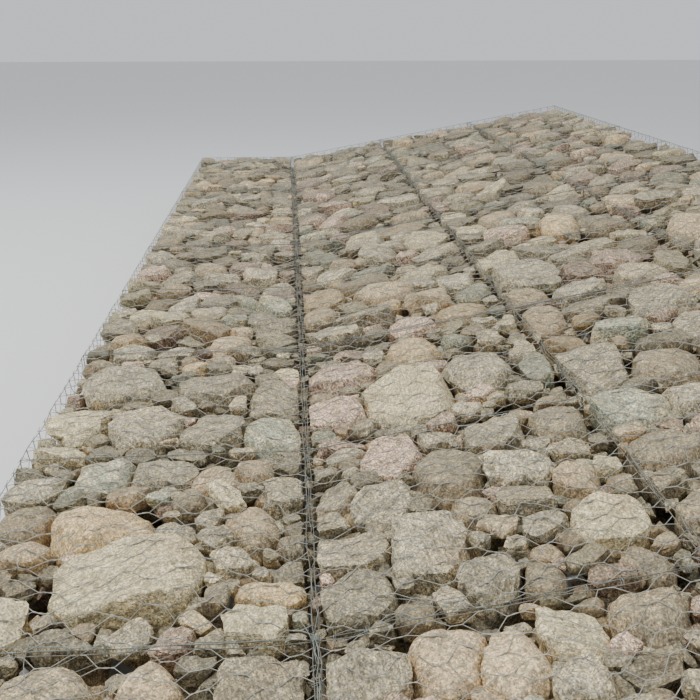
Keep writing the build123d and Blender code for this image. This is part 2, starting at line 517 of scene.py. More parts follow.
# %% Planes that press on a stone
# How many planes chip a rounded stone or a block, how far off a neighbour still presses, the share of a face
# stone's half width that stops a wedge, how much the plane under the lid leans, the least distance, and the
# walls for a stone in a seam.
ROUND_PLANES, BLOCK_PLANES = 20, 9
NEIGHBOUR_REACH = 1.7
WEDGE_STOP = 0.92
LID_LEAN = 0.14
LEAST_DISTANCE = 0.008
SEAM_WALLS = (-0.05, SEAM_MARGIN, 0, 0)


def pressing_planes(draw, stone, others):
    """Normals and distances of all planes that press on a stone."""
    centre = stone["place"]
    normals, distances = [], []
    for other in others:
        away = other["place"] - centre
        distance = np.linalg.norm(away)
        direction = away / distance
        mine, its = half_width(stone, direction), half_width(other, direction)
        held_off = stone["layer"] == "face" and other["layer"] == "wedge"
        if distance > NEIGHBOUR_REACH * (mine + its) or held_off:
            continue
        normals.append(direction)
        if stone["layer"] == "wedge" and other["layer"] == "face":
            distances.append(distance - WEDGE_STOP * its)
        else:
            distances.append(distance * mine / (mine + its) - stone["gap"] / 2)
    u, v, w = stone["place"]
    v_low = stone["cell"] * CELL
    low, high, start, end = SEAM_WALLS if stone["layer"] == "seam" else stone["walls"]
    for normal, distance in (
        ((-1, 0, 0), u - low),
        ((1, 0, 0), WIDTH - high - u),
        ((0, -1, 0), v - v_low - start),
        ((0, 1, 0), v_low + CELL - end - v),
        ((0, 0, -1), w - BASE_MARGIN),
    ):
        normals.append(normal)
        distances.append(distance)
    if stone["layer"] in ("face", "wedge"):
        lean = np.array((draw.normal(0, LID_LEAN), draw.normal(0, LID_LEAN), 1))
        normals.append(lean / np.linalg.norm(lean))
        distances.append((stone["top"] - w) / np.linalg.norm(lean))
    if stone["round"]:
        own = spread(ROUND_PLANES, draw)
        reach = draw.uniform(1.08, 1.25, ROUND_PLANES)
    else:
        own = spread(BLOCK_PLANES, draw)
        reach = draw.uniform(1.0, 1.35, BLOCK_PLANES)
        own = np.concatenate((own, block_faces(draw, stone["turn"])))
        reach = np.concatenate((reach, draw.uniform(0.80, 0.98, 6)))
    normals = np.concatenate((np.array(normals, float), own))
    distances = np.concatenate((np.array(distances, float), half_width(stone, own) * reach))
    return normals, np.maximum(distances, LEAST_DISTANCE)


# %% Press one stone
def press(draw, stone, others):
    """The stone's points, in the basket's own measure."""
    c, s = cos(stone["turn"]), sin(stone["turn"])
    stretched = BALLS[stone["fineness"]][0] * np.array(stone["half"])
    x, y, z = stretched.T
    rays = np.stack((x * c - y * s, x * s + y * c, z), axis=1)
    rays /= np.linalg.norm(rays, axis=1)[:, None]
    normals, distances = pressing_planes(draw, stone, others)
    stops = np.maximum(rays @ normals.T, 0) / distances
    reach = (stops ** stone["power"]).sum(axis=1) ** (-1 / stone["power"])
    return stone["place"] + rays * reach[:, None]

# %% [markdown]
# Thousands of finely meshed stones would fill a computer's memory, and most of them lie far off or deep
# down. So each stone takes the coarsest ball that still looks right at its distance from the camera. Stones
# that nobody can see are left out.

# %% How fine each stone has to be
# Distances from the camera in metres, half widths, and pairs of a half width and a ball's number in BALLS.
NEAR, MIDDLE = 3.0, 5.0
NEAR_WEDGES, MIDDLE_WEDGES = 2.3, 3.5
LARGE_IN_THE_MIDDLE, LARGE_FAR_OFF = 0.11, 0.105
NEAR_BALLS = ((0.20, 6), (0.14, 5), (0.08, 4), (0.045, 3), (0.0, 2))


def fineness(basket, stone):
    """Which ball a stone starts from: fine ones near the camera, coarse ones far off or deep down."""
    distance = np.linalg.norm(basket.place(stone["place"]) - np.array(eye))
    large = max(stone["half"])
    if stone["layer"] in LEVELS:
        return 0
    if stone["layer"] == "side":
        return 1
    if stone["layer"] == "seam":
        return 1 if distance < NEAR_WEDGES else 0
    if stone["layer"] == "wedge":
        return 2 if distance < NEAR_WEDGES else 1 if distance < MIDDLE_WEDGES else 0
    if distance < NEAR:
        return next(index for size, index in NEAR_BALLS if large > size)
    if distance < MIDDLE:
        return 3 if large > LARGE_IN_THE_MIDDLE else 2
    return 2 if large > LARGE_FAR_OFF else 1


# %% Open sides, and which stones show
SIDE_DEPTH = 0.13
SEAM_REACH = 0.17


def open_sides(basket):
    """The sides of a basket that no other basket stands against."""
    found = {
        "low": basket.row == "toe",
        "high": basket.row == "upper",
        "start": basket.bay == 1,
        "end": basket.bay == bays,
    }
    return [side for side in found if found[side]]


def behind_side(basket, stone):
    """Whether a deep stone lies where the stones of an open side stand."""
    u, v = stone["centre"]
    clear = {"low": u, "high": WIDTH - u, "start": v, "end": LENGTH - v}
    return any(clear[side] < SIDE_DEPTH for side in open_sides(basket))


def shows(basket, stone):
    """Whether a stone can be seen: all but the deepest ones, and of those what closes the near seams."""
    u = stone["centre"][0]
    near_seam = basket.bay < 4 and not SEAM_REACH < u < WIDTH - SEAM_REACH
    return stone["layer"] != "base" or near_seam


# %% Pack one basket
def pack(basket):
    """All stones of a basket, each with its middle, its size and what it is made of."""
    draw = basket.chance(0, 1000)
    stones = []
    for cell in range(2):
        face = lay(draw, basket, cell, "face")
        layers = {"face": face, "wedge": wedges(draw, cell, face), "seam": fallen(draw, basket, cell)}
        for layer in LEVELS:
            laid = lay(draw, basket, cell, layer)
            layers[layer] = [stone for stone in laid if not behind_side(basket, stone)]
        layers["side"] = []
        for side in open_sides(basket):
            if (side, cell) not in (("start", 1), ("end", 0)):
                layers["side"] += lay_side(draw, side, cell)
        for layer, laid in layers.items():
            for stone in laid:
                settle(draw, basket, stone, cell, layer)
                stones.append(stone)
    return stones, draw


# %% Settle one stone
# How often it is rounded, how crisp its edges are, the gaps beside it, how far it lies below the lid, how
# much of its half height stands above its middle, and how light a listed stone is.
ROUND_OFTEN, ROUND_SELDOM = 0.85, 0.12
SOFT_EDGES, CRISP_EDGES = (8, 13), (24, 60)
GAPS = (0.000, 0.010)
FACE_SINK = 0.04
WEDGE_SINK, FAR_WEDGE_SINK = (0.022, 0.070), 0.025
SEAM_SINK = (0.05, 0.12)
HAND_LAID_SINK = (0.0, 0.010)
LEVEL_SPREAD = 0.03
ROUND_TOP, FLAT_TOP = 0.95, 0.70
CREAM_TONE, HAND_LAID_TONES = 0.82, (0.42, 1.0)


def settle(draw, basket, stone, cell, layer):
    """Give a stone its height in the basket, its roundness and the width of the gaps beside it."""
    stone["cell"], stone["layer"] = cell, layer
    stone["walls"] = wall_margins(basket, cell, layer)
    if stone["by_hand"]:
        stone["round"] = stone["kind"] in ROUND_KINDS
    else:
        often = ROUND_OFTEN if stone["kind"] in ROUND_KINDS else ROUND_SELDOM
        stone["round"] = draw.uniform() < often
    stone["power"] = draw.uniform(*SOFT_EDGES) if stone["round"] else draw.uniform(*CRISP_EDGES)
    stone["gap"] = draw.uniform(*GAPS)
    depths = {
        "wedge": draw.uniform(*WEDGE_SINK) + (0.0 if basket.bay < 3 else FAR_WEDGE_SINK),
        "face": FACE_SINK * draw.uniform() ** 1.5,
        "seam": draw.uniform(*SEAM_SINK),
    }
    sunk = depths.get(layer, 0.0)
    if stone["by_hand"]:
        sunk = draw.uniform(*HAND_LAID_SINK)
    u, v = stone["centre"]
    stone["top"] = lid(basket.row, u, v) - sunk
    if layer in LEVELS:
        w = LEVELS[layer] + draw.uniform(-LEVEL_SPREAD, LEVEL_SPREAD)
    elif layer == "side":
        w = stone["height"]
    else:
        w = stone["top"] - (ROUND_TOP if stone["round"] else FLAT_TOP) * stone["half"][2]
    stone["place"] = np.array((u, v, w))
    stone["tone"] = draw.uniform()
    if stone["by_hand"]:
        stone["tone"] = CREAM_TONE if stone["kind"] == "cream" else draw.uniform(*HAND_LAID_TONES)


# %% Make one heap
NEIGHBOURHOOD = 0.55


def random_turn(draw):
    """A random rotation matrix."""
    return np.array(Euler(draw.uniform(0, 2 * pi, 3)).to_matrix())


def heap_of(basket):
    """All stones of a basket in one mesh, with values for the material on every point."""
    stones, draw = pack(basket)
    verts, faces, tones, kinds, grains = [], [], [], [], []
    start = 0
    for index, stone in enumerate(stones):
        if not shows(basket, stone):
            continue
        stone["fineness"] = fineness(basket, stone)
        others = [other for i, other in enumerate(stones)
                  if i != index and np.abs(other["place"] - stone["place"]).max() < NEIGHBOURHOOD]
        points = press(draw, stone, others)
        triangles = BALLS[stone["fineness"]][1]
        verts.append(points)
        faces.append(triangles + start)
        start += len(points)
        tones.append(np.full(len(points), stone["tone"]))
        kinds.append(np.full(len(points), (KINDS.index(stone["kind"]) + 0.5) / len(KINDS)))
        grains.append((points - stone["place"]) @ random_turn(draw).T + draw.uniform(-9, 9, 3))
    values = {"stone_tone": tones, "stone_kind": kinds}
    heap = joined_mesh(f"{basket.row}_stones_{basket.bay}", verts, faces, values, {"stone_grain": grains})
    return heap, len(faces)


# %% Join arrays to one mesh
def joined_mesh(name, verts, faces, values, vectors):
    """One mesh object out of lists of point arrays and triangle arrays, with attributes on its points."""
    points, triangles = np.concatenate(verts), np.concatenate(faces)
    mesh = bpy.data.meshes.new(name)
    mesh.vertices.add(len(points))
    mesh.vertices.foreach_set("co", points.ravel())
    mesh.loops.add(triangles.size)
    mesh.loops.foreach_set("vertex_index", triangles.ravel())
    mesh.polygons.add(len(triangles))
    mesh.polygons.foreach_set("loop_start", np.arange(0, triangles.size, triangles.shape[1]))
    mesh.update(calc_edges=True)
    for key, data in values.items():
        layer = mesh.attributes.new(key, "FLOAT", "POINT")
        layer.data.foreach_set("value", np.concatenate(data))
    for key, data in vectors.items():
        layer = mesh.attributes.new(key, "FLOAT_VECTOR", "POINT")
        layer.data.foreach_set("vector", np.concatenate(data).ravel())
    piece = bpy.data.objects.new(name, mesh)
    bpy.context.scene.collection.objects.link(piece)
    return piece

# %% [markdown]
# Pressed stones are still too even. A Displace modifier with a cloud texture pushes their points in and out
# along the surface, broad swellings first and small knocks after, and is then applied. Shading that is
# smooth only across shallow angles keeps the broken edges crisp.

# %% Roughen a heap
def clouds(name, size, depth, hard):
    """A cloud texture for displacing."""
    texture = bpy.data.textures.new(name, "CLOUDS")
    texture.noise_scale = size
    texture.noise_depth = depth
    texture.noise_type = "HARD_NOISE" if hard else "SOFT_NOISE"
    return texture


swellings = clouds("swellings", 0.075, 1, False)
knocks = clouds("knocks", 0.028, 2, True)
SHARP_ANGLE = radians(38)
INSIDE = 0.003


def activate(piece):
    """Make a piece the one that Blender's operators work on."""
    bpy.ops.object.select_all(action="DESELECT")
    piece.select_set(True)
    bpy.context.view_layer.objects.active = piece


def roughen(heap, basket):
    """Swell and chip a heap, hold it inside its basket and bring it to its place."""
    activate(heap)
    for texture, strength in ((swellings, 0.022), (knocks, 0.010)):
        rough = heap.modifiers.new(texture.name, "DISPLACE")
        rough.texture = texture
        rough.texture_coords = "LOCAL"
        rough.strength = strength
        rough.mid_level = 0.5
        bpy.ops.object.modifier_apply(modifier=rough.name)
    keep_inside(heap.data, basket)
    heap.data.transform(basket.matrix())
    bpy.ops.object.shade_smooth_by_angle(angle=SHARP_ANGLE)


def keep_inside(mesh, basket):
    """Flatten what the roughening pushed out through the base and the open sides, as the net would."""
    places = np.empty(len(mesh.vertices) * 3)
    mesh.vertices.foreach_get("co", places)
    u, v, w = places.reshape(-1, 3).T
    u = np.clip(u, INSIDE if basket.row == "toe" else -1, WIDTH - INSIDE if basket.row == "upper" else 2)
    v = np.clip(v, INSIDE if basket.bay == 1 else -1, LENGTH - INSIDE if basket.bay == bays else 3)
    top = DEPTH + (WIDTH - u) * tan(SLOPE) - 2 * INSIDE if basket.row == "upper" else 1
    w = np.clip(w, INSIDE, top)
    mesh.vertices.foreach_set("co", np.stack((u, v, w), axis=1).ravel())
    mesh.update()


# %% Pack every basket
heaps = {}
total = 0
for basket in baskets:
    heap, count = heap_of(basket)
    roughen(heap, basket)
    heaps[basket.row, basket.bay] = heap
    total += count
print(total, "stones with", sum(len(heap.data.polygons) for heap in heaps.values()), "triangles")

# %% [markdown]
# Stone and zinc share some effects, and each could be wired anew in every material. A node group with named
# sockets is built once instead, and each material gives it its own size. Mineral grain is the salt and pepper
# of crystals, weathering the patches that rain and river leave and a mask of the tops, where dust and painted
# light go, bedding the streaks of layered rock, and rough height the pits and ridges that feed a Bump node.

# %% Node helpers
def add_node(tree, kind, **settings):
    """A node of a kind, with its own properties set, or with values on its named input sockets."""
    node = tree.nodes.new(kind)
    for key, value in settings.items():
        if key in node.inputs:
            node.inputs[key].default_value = value
        else:
            setattr(node, key, value)
    return node


def feed(tree, value, socket):
    """Bring a socket's output or a plain value to an input socket."""
    if isinstance(value, bpy.types.NodeSocket):
        tree.links.new(value, socket)
    else:
        socket.default_value = value


def math_node(tree, operation, first, second):
    """A Math node between two sockets or numbers; returns its output socket."""
    node = add_node(tree, "ShaderNodeMath", operation=operation)
    feed(tree, first, node.inputs[0])
    feed(tree, second, node.inputs[1])
    return node.outputs[0]


def product(tree, first, second):
    """The product of two sockets or numbers, as a socket."""
    return math_node(tree, "MULTIPLY", first, second)


def mix_node(tree, factor, first, second, blend="MIX"):
    """A colour Mix node; each of the three may be a socket or a value. Returns its output socket."""
    node = add_node(tree, "ShaderNodeMix", data_type="RGBA", blend_type=blend)
    feed(tree, factor, node.inputs[0])
    feed(tree, first, node.inputs[6])
    feed(tree, second, node.inputs[7])
    return node.outputs[2]


def ramp_node(tree, factor, stops, interpolation="LINEAR"):
    """A Color Ramp with stops given as position and colour; returns its colour socket."""
    node = add_node(tree, "ShaderNodeValToRGB")
    node.color_ramp.interpolation = interpolation
    elements = node.color_ramp.elements
    while len(elements) < len(stops):
        elements.new(1.0)
    for element, (position, color) in zip(elements, stops):
        element.position = position
        element.color = (*color, 1) if isinstance(color, tuple) else (color, color, color, 1)
    tree.links.new(factor, node.inputs["Fac"])
    return node.outputs["Color"]


def new_group(name, size, outputs):
    """A node group that takes a place and a size and gives some values; returns tree, entry and exit."""
    tree = bpy.data.node_groups.new(name, "ShaderNodeTree")
    tree.interface.new_socket("Vector", in_out="INPUT", socket_type="NodeSocketVector")
    size_socket = tree.interface.new_socket("Size", in_out="INPUT", socket_type="NodeSocketFloat")
    size_socket.default_value = size
    for label in outputs:
        tree.interface.new_socket(label, in_out="OUTPUT", socket_type="NodeSocketFloat")
    return tree, tree.nodes.new("NodeGroupInput"), tree.nodes.new("NodeGroupOutput")


def noise_in_group(tree, entry, scale, **settings):
    """Noise at a group's place, and at its size times a scale; returns its output socket."""
    noise_node = add_node(tree, "ShaderNodeTexNoise", **settings)
    tree.links.new(entry.outputs["Vector"], noise_node.inputs["Vector"])
    tree.links.new(product(tree, entry.outputs["Size"], scale), noise_node.inputs["Scale"])
    return noise_node.outputs["Fac"]


def map_range(tree, value, low, high):
    """A value stretched so that low becomes nought and high becomes one; returns its output socket."""
    node = add_node(tree, "ShaderNodeMapRange")
    tree.links.new(value, node.inputs["Value"])
    node.inputs["From Min"].default_value, node.inputs["From Max"].default_value = low, high
    return node.outputs["Result"]


def place_group(tree, group, **values):
    """A group placed in a material, with values on its inputs."""
    node = add_node(tree, "ShaderNodeGroup")
    node.node_tree = group
    for key, value in values.items():
        feed(tree, value, node.inputs[key])
    return node


# %% Mineral grain group
def mineral_grain():
    """Crystals of even size with clouds over them, and dark flecks."""
    tree, entry, leave = new_group("mineral_grain", 260.0, ("Grain", "Dark Flecks"))
    crystals = add_node(tree, "ShaderNodeTexVoronoi", feature="F1")
    tree.links.new(entry.outputs["Vector"], crystals.inputs["Vector"])
    tree.links.new(entry.outputs["Size"], crystals.inputs["Scale"])
    shade = add_node(tree, "ShaderNodeSeparateColor")
    tree.links.new(crystals.outputs["Color"], shade.inputs["Color"])
    cloudy = noise_in_group(tree, entry, 0.45, Detail=3.0, Roughness=0.7)
    crystal_half = product(tree, shade.outputs["Red"], 0.5)
    cloud_half = product(tree, cloudy, 0.5)
    tree.links.new(math_node(tree, "ADD", crystal_half, cloud_half), leave.inputs["Grain"])
    flecks = math_node(tree, "GREATER_THAN", shade.outputs["Green"], 0.80)
    tree.links.new(flecks, leave.inputs["Dark Flecks"])
    return tree


# %% Weathering and top light group: size, detail and sharpness of its four patterns
PATTERNS = {
    "Patches": (1.0, 5.0, (0.38, 0.64)),
    "Stains": (0.45, 3.0, (0.52, 0.68)),
    "Mottle": (3.1, 2.0, (0.45, 0.62)),
    "Blotches": (6.5, 3.0, (0.36, 0.66)),
}


def weathering():
    """Masks of four sizes, and one of how far a surface faces up, where dust and light gather."""
    tree, entry, leave = new_group("weathering", 9.0, (*PATTERNS, "Upward"))
    for label, (scale, detail, sharp) in PATTERNS.items():
        pattern = noise_in_group(tree, entry, scale, Detail=detail, Roughness=0.62)
        tree.links.new(map_range(tree, pattern, *sharp), leave.inputs[label])
    # How far a surface faces up. The stone material lays dust and painted light from above with it.
    surface = add_node(tree, "ShaderNodeNewGeometry")
    parts = add_node(tree, "ShaderNodeSeparateXYZ")
    tree.links.new(surface.outputs["Normal"], parts.inputs["Vector"])
    tree.links.new(map_range(tree, parts.outputs["Z"], -0.2, 0.95), leave.inputs["Upward"])
    return tree


# %% Bedding group
def bedding():
    """Slightly wavy streaks across one direction, as in slate and gneiss."""
    tree, entry, leave = new_group("bedding", 14.0, ("Streaks",))
    flatten = add_node(tree, "ShaderNodeVectorMath", operation="MULTIPLY")
    tree.links.new(entry.outputs["Vector"], flatten.inputs[0])
    flatten.inputs[1].default_value = (1.0, 1.2, 9.0)
    layers = add_node(tree, "ShaderNodeTexNoise", Detail=4.0, Roughness=0.65, Distortion=0.4)
    tree.links.new(flatten.outputs["Vector"], layers.inputs["Vector"])
    tree.links.new(entry.outputs["Size"], layers.inputs["Scale"])
    tree.links.new(layers.outputs["Fac"], leave.inputs["Streaks"])
    return tree


# %% Rough height group
def rough_height():
    """Three sizes of noise added up, the coarsest the strongest."""
    tree, entry, leave = new_group("rough_height", 30.0, ("Height",))
    total_height = 0.0
    for scale, share in ((1.0, 0.55), (3.2, 0.30), (9.0, 0.15)):
        part = product(tree, noise_in_group(tree, entry, scale, Detail=2.0, Roughness=0.6), share)
        total_height = math_node(tree, "ADD", total_height, part)
    tree.links.new(total_height, leave.inputs["Height"])
    return tree


grain_group = mineral_grain()
weather_and_light_group = weathering()
height_group = rough_height()
bedding_group = bedding()
print("node groups:", [group.name for group in bpy.data.node_groups])

# %% [markdown]
# One material holds all kinds of stone. The kind that each stone carries picks its two colours from ramps,
# the tone makes it a little lighter or darker, and its own grain coordinates keep a pattern from running on
# into the next stone. Granite shows strong crystals and bedding, and river cobbles show less of both.

# %% Light colour, dark colour and strength of the grain for each kind of stone
KIND_COLORS = {
    "grey": ((0.445, 0.390, 0.265), (0.235, 0.210, 0.150), 0.90),
    "green": ((0.360, 0.370, 0.265), (0.195, 0.215, 0.155), 0.85),
    "cream": ((0.620, 0.530, 0.320), (0.450, 0.390, 0.235), 0.75),
    "pink": ((0.560, 0.380, 0.280), (0.390, 0.265, 0.195), 1.00),
    "tan": ((0.560, 0.400, 0.225), (0.370, 0.290, 0.180), 0.72),
    "ochre": ((0.600, 0.420, 0.200), (0.420, 0.300, 0.155), 0.70),
    "brown": ((0.385, 0.295, 0.180), (0.245, 0.205, 0.140), 0.75),
}


def kind_stops(column):
    """Ramp stops, one step for each kind of stone."""
    return [(index / len(KINDS), KIND_COLORS[kind][column]) for index, kind in enumerate(KINDS)]


def attribute(tree, name):
    """A node that reads an attribute of the mesh."""
    node = add_node(tree, "ShaderNodeAttribute")
    node.attribute_name = name
    return node


# %% Stone material: what it reads and where
STAIN = (0.42, 0.27, 0.13, 1)
PALE = (0.59, 0.47, 0.26, 1)
FLECK = (0.07, 0.065, 0.055, 1)
# A pale colour for surfaces that face up: partly dust, partly painted light from above.
DUST_AND_TOP_LIGHT = (0.60, 0.53, 0.36, 1)

packed_stone = bpy.data.materials.new("packed_stone")
packed_stone.use_nodes = True
tree = packed_stone.node_tree
shader = tree.nodes["Principled BSDF"]
place = attribute(tree, "stone_grain").outputs["Vector"]
kind = attribute(tree, "stone_kind").outputs["Fac"]
tone = attribute(tree, "stone_tone").outputs["Fac"]
grain = place_group(tree, grain_group, Vector=place, Size=230.0)
weather_and_light = place_group(tree, weather_and_light_group, Vector=place, Size=10.0)
rough = place_group(tree, height_group, Vector=place, Size=26.0)
streaks = place_group(tree, bedding_group, Vector=place, Size=14.0).outputs["Streaks"]

# %% Stone material: colours
light_color = ramp_node(tree, kind, kind_stops(0), "CONSTANT")
dark_color = ramp_node(tree, kind, kind_stops(1), "CONSTANT")
grain_share = ramp_node(tree, kind, kind_stops(2), "CONSTANT")
color = mix_node(tree, weather_and_light.outputs["Patches"], dark_color, light_color)
color = mix_node(tree, product(tree, weather_and_light.outputs["Stains"], 0.45), color, STAIN)
color = mix_node(tree, product(tree, weather_and_light.outputs["Mottle"], 0.45), color, PALE)
blotting = ramp_node(tree, weather_and_light.outputs["Blotches"], [(0.0, 0.66), (0.5, 1.0), (1.0, 1.30)])
color = mix_node(tree, 1.0, color, blotting, "MULTIPLY")
streaking = ramp_node(tree, streaks, [(0.36, 0.56), (0.50, 1.0), (0.64, 1.38)])
bedded = mix_node(tree, 1.0, color, streaking, "MULTIPLY")
color = mix_node(tree, grain_share, color, bedded)
speckle = ramp_node(tree, grain.outputs["Grain"], [(0.22, 0.22), (0.50, 0.95), (0.78, 2.10)])
speckled = mix_node(tree, 1.0, color, speckle, "MULTIPLY")
color = mix_node(tree, grain_share, color, speckled)
flecks = product(tree, grain.outputs["Dark Flecks"], grain_share)
color = mix_node(tree, product(tree, flecks, 0.40), color, FLECK)
toning = ramp_node(tree, tone, [(0.0, 0.48), (0.5, 0.89), (1.0, 1.62)])
color = mix_node(tree, 1.0, color, toning, "MULTIPLY")
# Surfaces that face up are mixed towards the pale colour: dust, and painted light from above.
color = mix_node(tree, product(tree, weather_and_light.outputs["Upward"], 0.18), color, DUST_AND_TOP_LIGHT)
tree.links.new(color, shader.inputs["Base Color"])

# %% Stone material: roughness and relief
shader.inputs["Roughness"].default_value = 0.92
shader.inputs["Specular IOR Level"].default_value = 0.25
bump = add_node(tree, "ShaderNodeBump", Strength=0.9, Distance=0.012)
grit = product(tree, grain.outputs["Grain"], 0.14)
ledges = product(tree, streaks, product(tree, grain_share, 0.9))
height = math_node(tree, "ADD", math_node(tree, "ADD", rough.outputs["Height"], grit), ledges)
tree.links.new(height, bump.inputs["Height"])
tree.links.new(bump.outputs["Normal"], shader.inputs["Normal"])

for (row, bay), heap in heaps.items():
    heap.data.materials.append(packed_stone)
    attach(heap, "root")
    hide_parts(f"{row}_fill_{bay}")
print("heaps dressed:", len(heaps))

# %% [markdown]
# The net is woven from pairs of wires. Each wire is twisted with its neighbour on one side, crosses over,
# and is twisted with its neighbour on the other side, which leaves six-sided openings 80 mm wide.
# The lid is pulled over the stones, so it touches the highest ones and spans the hollows between them.
# Rays cast down on the stones give their heights, and a large ball rolled over these heights gives the
# surface that the net rests on.

# %% Heights of the stones under a lid
STEP = 0.02
BALL_RADIUS, BALL_REACH = 0.28, 0.18
RAY_START, NO_STONE = 0.8, 0.3


def stone_heights(basket, heap):
    """Heights of the stones above the basket's floor, on a grid across and along the basket."""
    places = np.empty(len(heap.data.vertices) * 3)
    heap.data.vertices.foreach_get("co", places)
    corners = np.empty(len(heap.data.polygons) * 3, np.int32)
    heap.data.polygons.foreach_get("vertices", corners)
    tree = BVHTree.FromPolygons(places.reshape(-1, 3).tolist(), corners.reshape(-1, 3).tolist())
    across = np.arange(0, WIDTH + STEP / 2, STEP)
    along = np.arange(0, LENGTH + STEP / 2, STEP)
    heights = np.zeros((len(across), len(along)))
    for i, u in enumerate(across):
        for j, v in enumerate(along):
            above = Vector(basket.place((u, v, RAY_START)))
            hit = tree.ray_cast(above, -basket.out, RAY_START)
            heights[i, j] = RAY_START - hit[3] if hit[0] is not None else NO_STONE
    return heights


def roll_ball(heights, radius):
    """The surface that a ball of this radius touches when it rolls over the heights."""
    reach = int(BALL_REACH / STEP)
    result = heights
    for sign in (1, -1):
        for axis in (0, 1):
            pad = [(reach, reach) if axis == 0 else (0, 0), (reach, reach) if axis == 1 else (0, 0)]
            padded = np.pad(result, pad, mode="edge")
            count = result.shape[axis]
            shifted = []
            for k in range(2 * reach + 1):
                drop = ((k - reach) * STEP) ** 2 / (2 * radius)
                shifted.append(np.take(padded, np.arange(k, k + count), axis=axis) - sign * drop)
            result = np.max(shifted, axis=0) if sign == 1 else np.min(shifted, axis=0)
    return result


def smooth(grid, rounds):
    """The grid with each value drawn to the mean of its neighbours, a few rounds over."""
    for _ in range(rounds):
        padded = np.pad(grid, 1, mode="edge")
        grid = (padded[:-2, 1:-1] + padded[2:, 1:-1] + padded[1:-1, :-2] + padded[1:-1, 2:]
                + 2 * grid) / 6
    return grid


def lookup(grid, u, v):
    """Values of a grid between its points."""
    i = np.clip(u / STEP, 0, grid.shape[0] - 1.001)
    j = np.clip(v / STEP, 0, grid.shape[1] - 1.001)
    i0, j0 = i.astype(int), j.astype(int)
    fi, fj = i - i0, j - j0
    return ((1 - fi) * (1 - fj) * grid[i0, j0] + fi * (1 - fj) * grid[i0 + 1, j0]
            + (1 - fi) * fj * grid[i0, j0 + 1] + fi * fj * grid[i0 + 1, j0 + 1])


# %% Waves that make wires uneven
def waves(places, size, draw, count=5):
    """A smooth uneven value for each place, about minus one to one, that changes over the length size."""
    value = np.zeros(places.shape[:-1])
    for _ in range(count):
        direction = draw.normal(0, 1, places.shape[-1])
        direction *= 2 * pi / size * draw.uniform(0.6, 1.4) / np.linalg.norm(direction)
        value += np.sin(places @ direction + draw.uniform(0, 2 * pi))
    return value / sqrt(count) / 1.4

# %% [markdown]
# One net is worked out flat first. Each of its wires is a path of points that swings left and right from
# twist to twist, and a curve with a round bevel gives every path its thickness, which is the quickest way to
# make wire by hand as well. The curve is then converted, so that the finished net is a mesh.

# %% Wires of one net, flat: rows of double twists, every other row shifted by half an opening
OPENING = 0.080
ROW_PITCH = 0.075
TWIST = 0.040


def net_wires(run, width, twist_points):
    """Flat paths of all wires of a net. Wires go along run, side by side over width."""
    rows = int((run - TWIST) / ROW_PITCH) + 1
    first = (run - (rows - 1) * ROW_PITCH) / 2
    lanes = int(round(width / (OPENING / 2)))
    lane = width / lanes
    turns = np.linspace(0, 1, twist_points)
    paths = []
    for k in range(lanes):
        points = [(0.0, (k + 0.5) * lane, 0.0)]
        for r in range(rows):
            up = (k + r) % 2 == 0
            meet = (k + 1) * lane if up else k * lane
            if meet < lane / 2 or meet > width - lane / 2:
                meet = min(max(meet, 0.001), width - 0.001)
            side = -1 if up else 1
            for t in turns:
                # The two wires of a twist lie half a wire's width from its middle and turn about it.
                swing = side * MESH_WIRE * 0.52
                lift = 0.0
                if twist_points > 2:
                    swing, lift = swing * cos(2 * pi * t), swing * sin(2 * pi * t)
                points.append((first + r * ROW_PITCH + (t - 0.5) * TWIST, meet + swing, lift))
        points.append((run, (k + 0.5) * lane, 0.0))
        paths.append(points)
    return np.array(paths)


# %% Wires as curves with a round bevel, converted to a mesh
def wires(name, paths, thickness, curved=False):
    """One mesh piece of wires along paths of points; curved ones swing smoothly past their points.

    A spline holds a fourth value for each point, its weight, which is one all along here.
    """
    curve = bpy.data.curves.new(name, "CURVE")
    curve.dimensions = "3D"
    curve.bevel_depth = thickness / 2
    curve.bevel_resolution = 0
    curve.use_fill_caps = True
    for path in paths:
        spline = curve.splines.new("NURBS" if curved else "POLY")
        spline.points.add(len(path) - 1)
        spline.use_endpoint_u = True
        spline.order_u = 4
        spline.resolution_u = 5
        weighted = np.column_stack((path, np.ones(len(path))))
        spline.points.foreach_set("co", weighted.ravel())
    piece = bpy.data.objects.new(name, curve)
    bpy.context.scene.collection.objects.link(piece)
    activate(piece)
    bpy.ops.object.convert(target="MESH")
    bpy.ops.object.shade_smooth()
    return bpy.context.object

# %% [markdown]
# Galvanised wire is dull grey zinc with a slight green tint. New zinc would be metallic all over, but
# weathered zinc is covered with a chalky skin, so the shader is metallic only in part and fairly rough. It
# catches the sky without shining. Three shades tell net, edge and lacing apart.

# %% Wire materials
def wire_material(name, light, dark, roughness):
    """Zinc that is light where it is worn and dark where water has stood."""
    material = bpy.data.materials.new(name)
    material.use_nodes = True
    tree = material.node_tree
    shader = tree.nodes["Principled BSDF"]
    where = add_node(tree, "ShaderNodeTexCoord").outputs["Object"]
    grain = place_group(tree, grain_group, Vector=where, Size=420.0)
    weather_and_light = place_group(tree, weather_and_light_group, Vector=where, Size=28.0)
    color = mix_node(tree, weather_and_light.outputs["Patches"], (*dark, 1), (*light, 1))
    speckle = ramp_node(tree, grain.outputs["Grain"], [(0.2, 0.8), (0.8, 1.15)])
    color = mix_node(tree, 1.0, color, speckle, "MULTIPLY")
    tree.links.new(color, shader.inputs["Base Color"])
    rough = ramp_node(tree, weather_and_light.outputs["Stains"], [(0.0, roughness), (1.0, roughness + 0.2)])
    tree.links.new(rough, shader.inputs["Roughness"])
    shader.inputs["Metallic"].default_value = 0.15
    bump = add_node(tree, "ShaderNodeBump", Strength=0.3, Distance=0.0005)
    tree.links.new(grain.outputs["Grain"], bump.inputs["Height"])
    tree.links.new(bump.outputs["Normal"], shader.inputs["Normal"])
    return material


